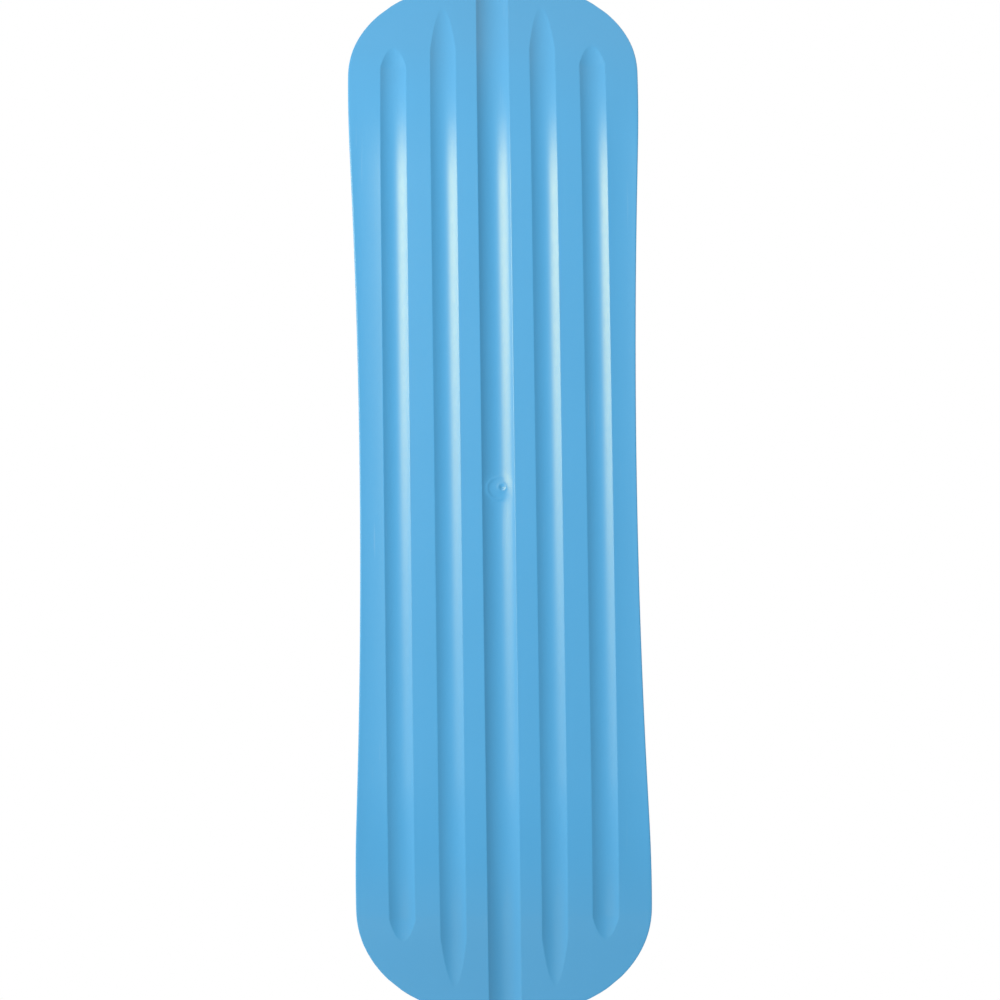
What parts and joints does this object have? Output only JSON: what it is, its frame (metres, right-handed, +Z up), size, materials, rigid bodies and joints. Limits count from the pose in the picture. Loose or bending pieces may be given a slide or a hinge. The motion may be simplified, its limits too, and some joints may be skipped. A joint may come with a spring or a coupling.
{
  "type": "snowskate",
  "caption": "Short twin-tip snow board ridden in shoes, moulded in blue plastic with running grooves under it, kicked-up ends and foam grip pads on top.",
  "frame": {"origin": "on the surface that the running base lies on, under the middle of the board", "axes": "+Z up through the deck, +Y along the board towards the nose, +X across it"},
  "size_m": [0.1978, 0.7146, 0.0619],
  "materials": {
    "board_plastic": "satin",
    "pad_foam": "matte",
    "adhesive_film": "matte"
  },
  "bodies": {
    "root": {"deck": "board_plastic", "nose_grip_pad": "pad_foam", "tail_grip_pad": "pad_foam", "nose_pad_adhesive": "adhesive_film", "tail_pad_adhesive": "adhesive_film"}
  },
  "joints": []
}
